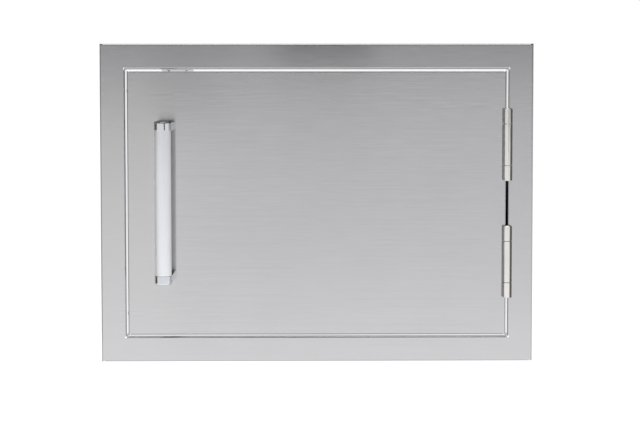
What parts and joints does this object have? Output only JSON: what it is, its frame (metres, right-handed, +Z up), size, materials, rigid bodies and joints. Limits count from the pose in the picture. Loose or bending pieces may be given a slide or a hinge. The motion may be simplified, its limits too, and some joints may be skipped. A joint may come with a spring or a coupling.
{
  "type": "outdoor kitchen access door",
  "caption": "Flush-mounted stainless access door for an island cut-out: frame with sleeve, side-hinged double-skinned door, tubular pull handle and magnetic catch.",
  "frame": {"origin": "centre of the rectangular hole in the island, in the plane of the wall's outer surface, where the frame's rear lips rest", "axes": "+Y goes into the island through the hole, +X is to the right of someone facing the door, +Z is up"},
  "size_m": [0.673, 0.1061, 0.4952],
  "materials": {
    "frame_steel": "horizontal satin brushing",
    "door_steel": "horizontal satin brushing",
    "liner_steel": "mill finish",
    "tube_steel": "fine satin",
    "hinge_steel": "polished",
    "screw_steel": "bright",
    "chrome": "bright chrome plate",
    "zinc_plate": "zinc plate",
    "dark_paint": "dark gloss paint",
    "catch_plastic": "pale moulded plastic",
    "magnet": "sintered ferrite"
  },
  "bodies": {
    "frame_body": {"frame": "frame_steel", "hinge_angle": "dark_paint", "hinge_angle_rivets": "zinc_plate", "catch_bracket": "zinc_plate", "catch_bracket_screws": "zinc_plate", "catch_housing": "catch_plastic", "catch_magnet": "magnet", "catch_pole_plates": "zinc_plate", "catch_screws": "zinc_plate", "lower_hinge_frame_leaf": "hinge_steel", "lower_hinge_pin": "hinge_steel", "lower_hinge_backing_plate": "zinc_plate", "lower_hinge_frame_screws": "screw_steel", "upper_hinge_frame_leaf": "hinge_steel", "upper_hinge_pin": "hinge_steel", "upper_hinge_backing_plate": "zinc_plate", "upper_hinge_frame_screws": "screw_steel"},
    "door": {"door_skin": "door_steel", "door_liner": "liner_steel", "door_hinge_bar": "zinc_plate", "handle_stiffener": "liner_steel", "handle_tube": "tube_steel", "handle_lower_bracket": "chrome", "handle_upper_bracket": "chrome", "handle_screws": "zinc_plate", "handle_washers": "zinc_plate", "strike_plate": "zinc_plate", "strike_rivets": "zinc_plate", "lower_hinge_door_leaf": "hinge_steel", "lower_hinge_door_screws": "screw_steel", "upper_hinge_door_leaf": "hinge_steel", "upper_hinge_door_screws": "screw_steel"}
  },
  "joints": [
    {"name": "door_swing", "type": "hinge", "parent": "frame_body", "child": "door", "pos_m": [0.2961, -0.0202, 0], "axis": [0, 0, 1], "range_deg": [0, 175]}
  ]
}
